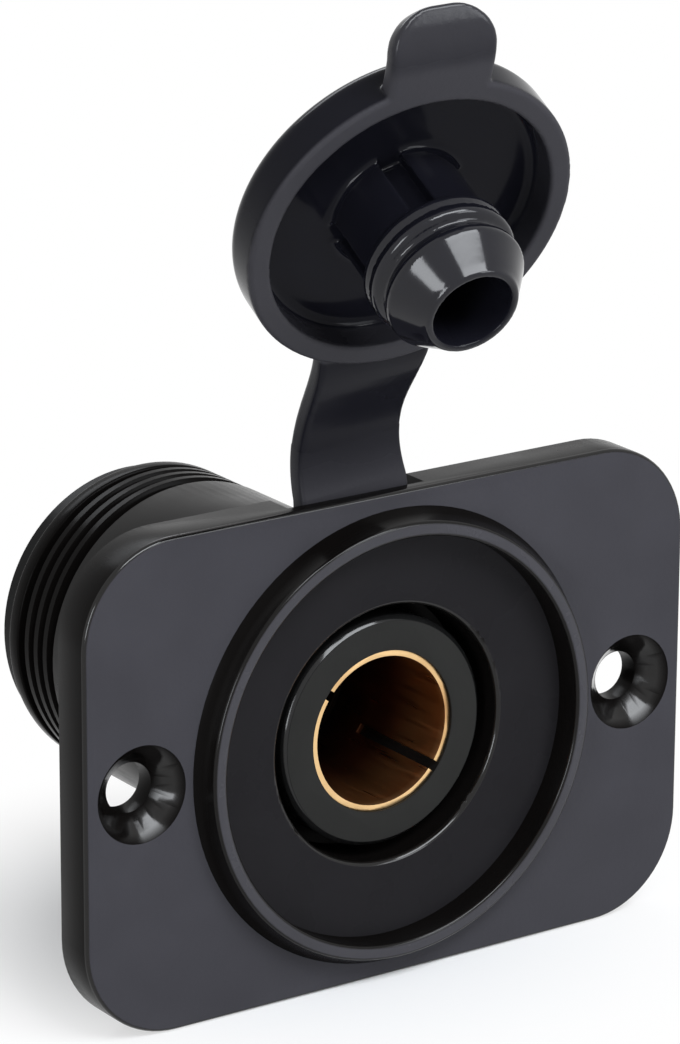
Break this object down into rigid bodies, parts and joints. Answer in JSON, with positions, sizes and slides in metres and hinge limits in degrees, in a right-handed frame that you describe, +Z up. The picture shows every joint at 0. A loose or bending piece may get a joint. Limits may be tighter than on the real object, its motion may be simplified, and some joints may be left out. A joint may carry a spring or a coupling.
{
  "type": "panel power socket",
  "caption": "Flush-mount 12 mm DC power socket: flanged plate with raised ring, threaded barrel, brass plug sleeve, blade terminals and a captive rubber cap on a strap.",
  "frame": {"origin": "on the axis of the plug bore at the plane of the plate's rear face, midway between the two screw holes", "axes": "-Y is the way the front faces and the plug leaves, +Y runs along the barrel into the panel, +X is to the right seen from the front, +Z up"},
  "size_m": [0.056, 0.0671, 0.081],
  "materials": {
    "housing_plastic": "satin",
    "insert_plastic": "matte",
    "sleeve_brass": "polished",
    "terminal_brass": "satin",
    "rivet_steel": "satin",
    "cap_rubber": "satin"
  },
  "bodies": {
    "socket": {"housing": "housing_plastic", "insert": "insert_plastic", "contact_sleeve": "sleeve_brass", "sleeve_terminal": "terminal_brass", "sleeve_rivet": "rivet_steel", "centre_contact": "sleeve_brass", "centre_terminal": "terminal_brass", "centre_rivet": "rivet_steel", "rear_cover": "insert_plastic", "cap_collar": "cap_rubber"},
    "strap": {"strap": "cap_rubber"},
    "cap": {"cap": "cap_rubber"}
  },
  "joints": [
    {"name": "strap_bend", "type": "hinge", "parent": "socket", "child": "strap", "pos_m": [-0.0028, -0.0016, 0.0212], "axis": [1, 0, 0], "range_deg": [0, 80], "stiffness_Nm_per_rad": 0.02, "deforming": ["strap"]},
    {"name": "cap_fold", "type": "hinge", "parent": "strap", "child": "cap", "pos_m": [-0.0028, -0.0037, 0.02607], "axis": [0.9715, 0.0358, 0.2345], "range_deg": [0, 76.75], "stiffness_Nm_per_rad": 0.02, "deforming": ["strap"]}
  ]
}
